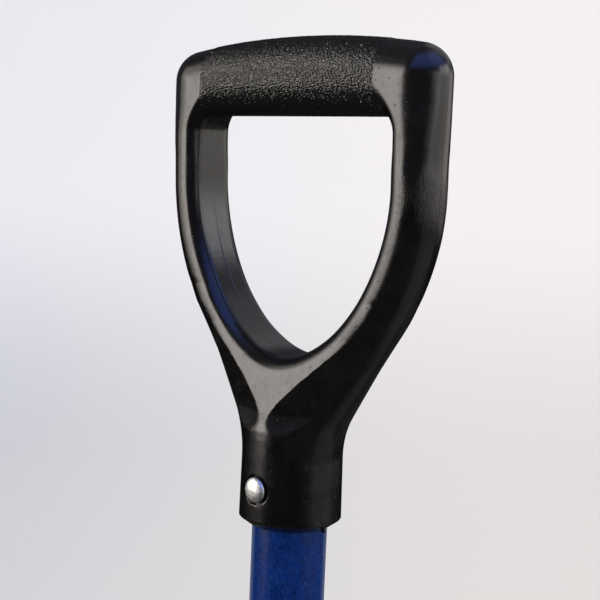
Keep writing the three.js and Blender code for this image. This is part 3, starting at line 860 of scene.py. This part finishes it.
def forged_head():
    """Black forge paint over hammered steel, chipped toward the cutting edge, with a ground bright bevel."""
    s = Surface("forged_head")
    out = s.maths("MULTIPLY", s.axis("Y"), -1.0)
    ragged = s.maths("ADD", out, s.span(s.noise(0.35, 3), 0.2, 0.8, -0.7, 0.7))
    ground = s.span(ragged, BLADE_LENGTH - BEVEL - 0.3, BLADE_LENGTH - BEVEL + 0.5)
    chips = s.span(s.noise(0.09, 6, 0.72), 0.62, 0.66)
    near_edge = s.span(out, BLADE_LENGTH - 70, BLADE_LENGTH - BEVEL, 0.0, 1.0)
    bare = s.maths("MAXIMUM", ground, s.maths("MULTIPLY", chips, near_edge))
    paint = s.blend(s.span(s.noise(0.06, 5), 0.3, 0.7), (0.012, 0.012, 0.013), (0.03, 0.03, 0.031))
    lines = s.noise(1.0, 4, 0.6, stretch=(3.0, 0.06, 0.06))
    steel = s.blend(lines, (0.3, 0.3, 0.31), (0.62, 0.61, 0.6))
    s.set("Base Color", s.blend(bare, paint, steel))
    s.set("Metallic", bare)
    dull = s.span(s.noise(0.3, 5), 0.3, 0.7, 0.42, 0.62)
    shine = s.span(lines, 0.3, 0.7, 0.22, 0.4)
    s.set("Roughness", s.maths("ADD", s.maths("MULTIPLY", dull, s.maths("SUBTRACT", 1.0, bare)),
                               s.maths("MULTIPLY", shine, bare)))
    dents = s.relief(s.cells(0.11, "SMOOTH_F1"), 0.5, 0.3)
    scale = s.relief(s.noise(0.5, 5, 0.65), 0.2, 0.3, dents)
    s.set("Normal", s.relief(lines, 0.03, 0.2, scale))
    return s.material


def matt_nylon():
    s = Surface("matt_nylon", IOR=1.5)
    s.set("Base Color", s.blend(s.noise(0.15, 4), (0.012, 0.012, 0.012), (0.022, 0.022, 0.023)))
    s.set("Roughness", s.span(s.noise(0.6, 4), 0.3, 0.7, 0.45, 0.62))
    s.set("Normal", s.relief(s.noise(1.5, 4, 0.7), 0.08, 0.35))
    return s.material


def matt_rubber():
    s = Surface("matt_rubber", IOR=1.5)
    dust = s.span(s.noise(0.08, 5, 0.65), 0.45, 0.75)
    s.set("Base Color", s.blend(dust, (0.011, 0.011, 0.011), (0.03, 0.029, 0.028)))
    s.set("Roughness", s.span(dust, 0, 1, 0.55, 0.75))
    s.set("Normal", s.relief(s.noise(1.1, 4, 0.7), 0.08, 0.3))
    return s.material


def turned_hardwood():
    s = Surface("turned_hardwood")
    rings = s.noise(0.5, 3, 0.5, stretch=(1.0, 1.0, 0.03), warp=0.8)
    pores = s.span(s.noise(2.2, 3, 0.6, stretch=(1.6, 1.6, 0.08)), 0.52, 0.66)
    wood = s.blend(s.span(rings, 0.3, 0.7), (0.5, 0.33, 0.17), (0.33, 0.19, 0.085))
    s.set("Base Color", s.blend(s.maths("MULTIPLY", pores, 0.6), wood, (0.16, 0.085, 0.035)))
    s.set("Roughness", s.span(rings, 0.3, 0.7, 0.55, 0.72))
    s.set("Normal", s.relief(pores, 0.08, 0.3))
    return s.material


# ---- Studio ------------------------------------------------------------------------------------

VIEW_AZIMUTH, VIEW_ELEVATION, VIEW_ROLL = (math.radians(a) for a in (40.3, 6.06, 2.33))
VIEW_DISTANCE = 0.5126
TARGET_SIDE, TARGET_UP = 0.0005, 0.0892     # from the handle's axis, and above the socket's rim
LENS_MM = 78.33

VIEW_BACK = Vector((math.sin(VIEW_AZIMUTH) * math.cos(VIEW_ELEVATION),
                    -math.cos(VIEW_AZIMUTH) * math.cos(VIEW_ELEVATION), math.sin(VIEW_ELEVATION)))
VIEW_RIGHT = Vector((math.cos(VIEW_AZIMUTH), math.sin(VIEW_AZIMUTH), 0))


def make_camera():
    up = VIEW_BACK.cross(VIEW_RIGHT)
    right = math.cos(VIEW_ROLL) * VIEW_RIGHT + math.sin(VIEW_ROLL) * up
    up = math.cos(VIEW_ROLL) * up - math.sin(VIEW_ROLL) * VIEW_RIGHT
    target = VIEW_RIGHT * TARGET_SIDE + Vector((0, 0, RIM_Z * MM + TARGET_UP))
    data = bpy.data.cameras.new("camera")
    data.lens, data.sensor_width = LENS_MM, 36
    camera = bpy.data.objects.new("camera", data)
    turn = Matrix((right, up, VIEW_BACK)).transposed().to_4x4()
    camera.matrix_world = Matrix.Translation(target + VIEW_BACK * VIEW_DISTANCE) @ turn
    bpy.context.scene.collection.objects.link(camera)
    bpy.context.scene.camera = camera


def pale_paper():
    """The cove's paper, which glows a little so that it shades from left to right and upward."""
    s = Surface("pale_paper", Base_Color=(0.3, 0.3, 0.3, 1), Roughness=1.0, Specular_IOR_Level=0.0,
                Emission_Strength=1.0)
    to_right = s.span(s.along(s.place, VIEW_RIGHT), -1900, 700)
    low = s.blend(to_right, (0.19, 0.21, 0.225), (0.46, 0.425, 0.36))
    high = s.blend(to_right, (0.55, 0.545, 0.515), (0.62, 0.585, 0.53))
    s.set("Emission Color", s.blend(s.span(s.axis("Z"), -260, 750), low, high))
    return s.material


def make_cove():
    """A pale floor that curves up into a round wall."""
    floor_r, bend, wall_top, drop, steps = 3200, 2200, 7000, 0.3, 96
    curve = [(floor_r + bend * math.sin(a), bend - bend * math.cos(a))
             for a in np.linspace(0.1, math.pi / 2, 18)]
    profile = [(0, 0), (500, 0), (1500, 0), (floor_r, 0), *curve, (floor_r + bend, wall_top)]
    angle = np.arange(steps) * 2 * math.pi / steps
    rings = [np.stack([radius * np.cos(angle), radius * np.sin(angle), np.full(steps, height - drop)], 1)
             for radius, height in profile]
    faces = [ring_quads(j * steps, (j + 1) * steps, steps) for j in range(len(rings) - 1)]
    cove = mesh_object("cove", np.vstack(rings), np.vstack(faces))
    cove.visible_glossy = False
    cove.visible_shadow = False
    cove.data.materials.append(pale_paper())


def make_light():
    """One broad, weak light straight above; the rest of the light comes from the world."""
    data = bpy.data.lights.new("top_fill", "AREA")
    data.size, data.energy = 3.0, 25.0
    light = bpy.data.objects.new("top_fill", data)
    light.location = (0, 0, 3.6)
    light.visible_glossy = False
    bpy.context.scene.collection.objects.link(light)


# Soft boxes of the studio as seen from the tool. Azimuth 0 is behind the tool in the main view and
# 90 is to its right; turned boxes count from the camera's side instead. Angles in degrees.
SOFT_BOXES = (
    # (azimuth from, to, soft edge), (elevation from, soft edge, to, soft edge), radiance, turned
    ((-114, -91, 6), (-7.5, 7, 23, 24), (7.0, 6.5, 6.1), False),
    ((-92, -72, 8), (-8, 6, 40, 20), (1.9, 1.75, 1.6), False),
    ((70, 122, 8), (11, 10, 28, 9), (2.7, 2.7, 2.8), False),
    ((46, 137, 7), (-8, 8, 12, 10), (1.3, 1.22, 1.13), False),
    ((118, 152, 12), (1, 8, 16, 10), (1.1, 1.03, 0.96), False),
    ((60, 150, 16), (40, 14, 85, 10), (0.26, 0.27, 0.3), False),
    ((12, 66, 14), (18, 14, 62, 16), (0.45, 0.46, 0.48), False),
    ((75, 130, 14), (-60, 16, -10, 8), (0.22, 0.21, 0.19), False),
    ((-95, 45, 12), (30, 12, 74, 12), (0.2, 0.42, 1.6), True),
    ((-180, 180, 0), (50, 16, 200, 1), (0.07, 0.07, 0.07), False),
    ((-180, 180, 0), (-2, 10, 200, 1), (0.07, 0.07, 0.08), False),
    ((-180, 180, 0), (-200, 1, -20, 10), (0.05, 0.05, 0.045), False),
)


def make_world():
    """The studio as painted light: each soft box is a window in azimuth and elevation."""
    world = bpy.data.worlds.new("studio")
    bpy.context.scene.world = world
    world.use_nodes = True
    sky = Graph(world.node_tree)
    sky.nodes.clear()

    def within(angle, low, low_soft, high, high_soft):
        rise = sky.span(angle, low - low_soft / 2, low + low_soft / 2)
        fall = sky.span(angle, high - high_soft / 2, high + high_soft / 2)
        return sky.maths("MULTIPLY", rise, sky.maths("SUBTRACT", 1.0, fall))

    def heading(right, behind):
        return sky.maths("DEGREES", sky.maths("ARCTAN2", right, behind))

    place = sky.nodes.new("ShaderNodeTexCoord").outputs["Generated"]
    right = sky.along(place, VIEW_RIGHT)
    behind = sky.along(place, Vector((-VIEW_RIGHT.y, VIEW_RIGHT.x, 0)))
    azimuth = heading(right, behind)
    turned_azimuth = heading(sky.maths("MULTIPLY", right, -1.0), sky.maths("MULTIPLY", behind, -1.0))
    elevation = sky.maths("DEGREES", sky.maths("ARCSINE", sky.along(place, Vector((0, 0, 1)))))
    total = None
    for (left, right_end, soft), upright, radiance, turned in SOFT_BOXES:
        share = within(elevation, *upright)
        if soft:
            angle = turned_azimuth if turned else azimuth
            share = sky.maths("MULTIPLY", share, within(angle, left, soft, right_end, soft))
        glow = sky.nodes.new("ShaderNodeBackground")
        glow.inputs["Color"].default_value = (*radiance, 1)
        sky.links.new(share, glow.inputs["Strength"])
        if total is None:
            total = glow
            continue
        both = sky.nodes.new("ShaderNodeAddShader")
        sky.links.new(total.outputs[0], both.inputs[0])
        sky.links.new(glow.outputs[0], both.inputs[1])
        total = both
    output = sky.nodes.new("ShaderNodeOutputWorld")
    sky.links.new(total.outputs[0], output.inputs["Surface"])


# ---- Assembly ----------------------------------------------------------------------------------


def add_piece(piece, material, slot, *nodes):
    piece.data.materials.append(material)
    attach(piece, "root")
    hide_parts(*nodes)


steel, nylon = rivet_steel(), matt_nylon()
add_piece(make_grip(), black_moulding(), "grip_plastic", "d_grip")
add_piece(make_sleeve(), grained_rubber(), "grip_texture", "grip_sleeve")
add_piece(make_rivet("socket_rivet", RIVET_SEAT[1] + RIVET_LIFT, WASHER_SEAT[1], GRIP_RIVET_Z, "y",
                     DRILL_TURN), steel, "rivet_steel", "grip_rivet")
add_piece(make_washer("socket_washer", WASHER_SEAT[1], GRIP_RIVET_Z, "y", DRILL_TURN),
          steel, "rivet_steel", "grip_rivet_washer")
add_piece(make_shaft(), blue_fibreglass(), "shaft_fibreglass", "shaft_tube")
add_piece(make_bush(), nylon, "bush_plastic", "eye_sleeve")
add_piece(make_head(), forged_head(), "head_steel", "hoe_head")
add_piece(make_rivet("eye_rivet", HEAD_SEAT, HEAD_SEAT, HEAD_RIVET_Z, "x"),
          steel, "rivet_steel", "head_rivet")
add_piece(make_washer("eye_washer", HEAD_SEAT, HEAD_RIVET_Z, "x"),
          steel, "rivet_steel", "head_rivet_washer")
add_piece(make_collar(), matt_rubber(), "collar_rubber", "head_collar")
add_piece(make_cap(), nylon, "bush_plastic", "butt_cap")
for plug in ("top_plug", "bottom_plug"):
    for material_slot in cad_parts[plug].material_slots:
        material_slot.material = turned_hardwood()

make_camera()
make_cove()
make_light()
make_world()
bpy.context.scene.view_settings.view_transform = "Standard"
bpy.context.scene.cycles.use_denoising = True
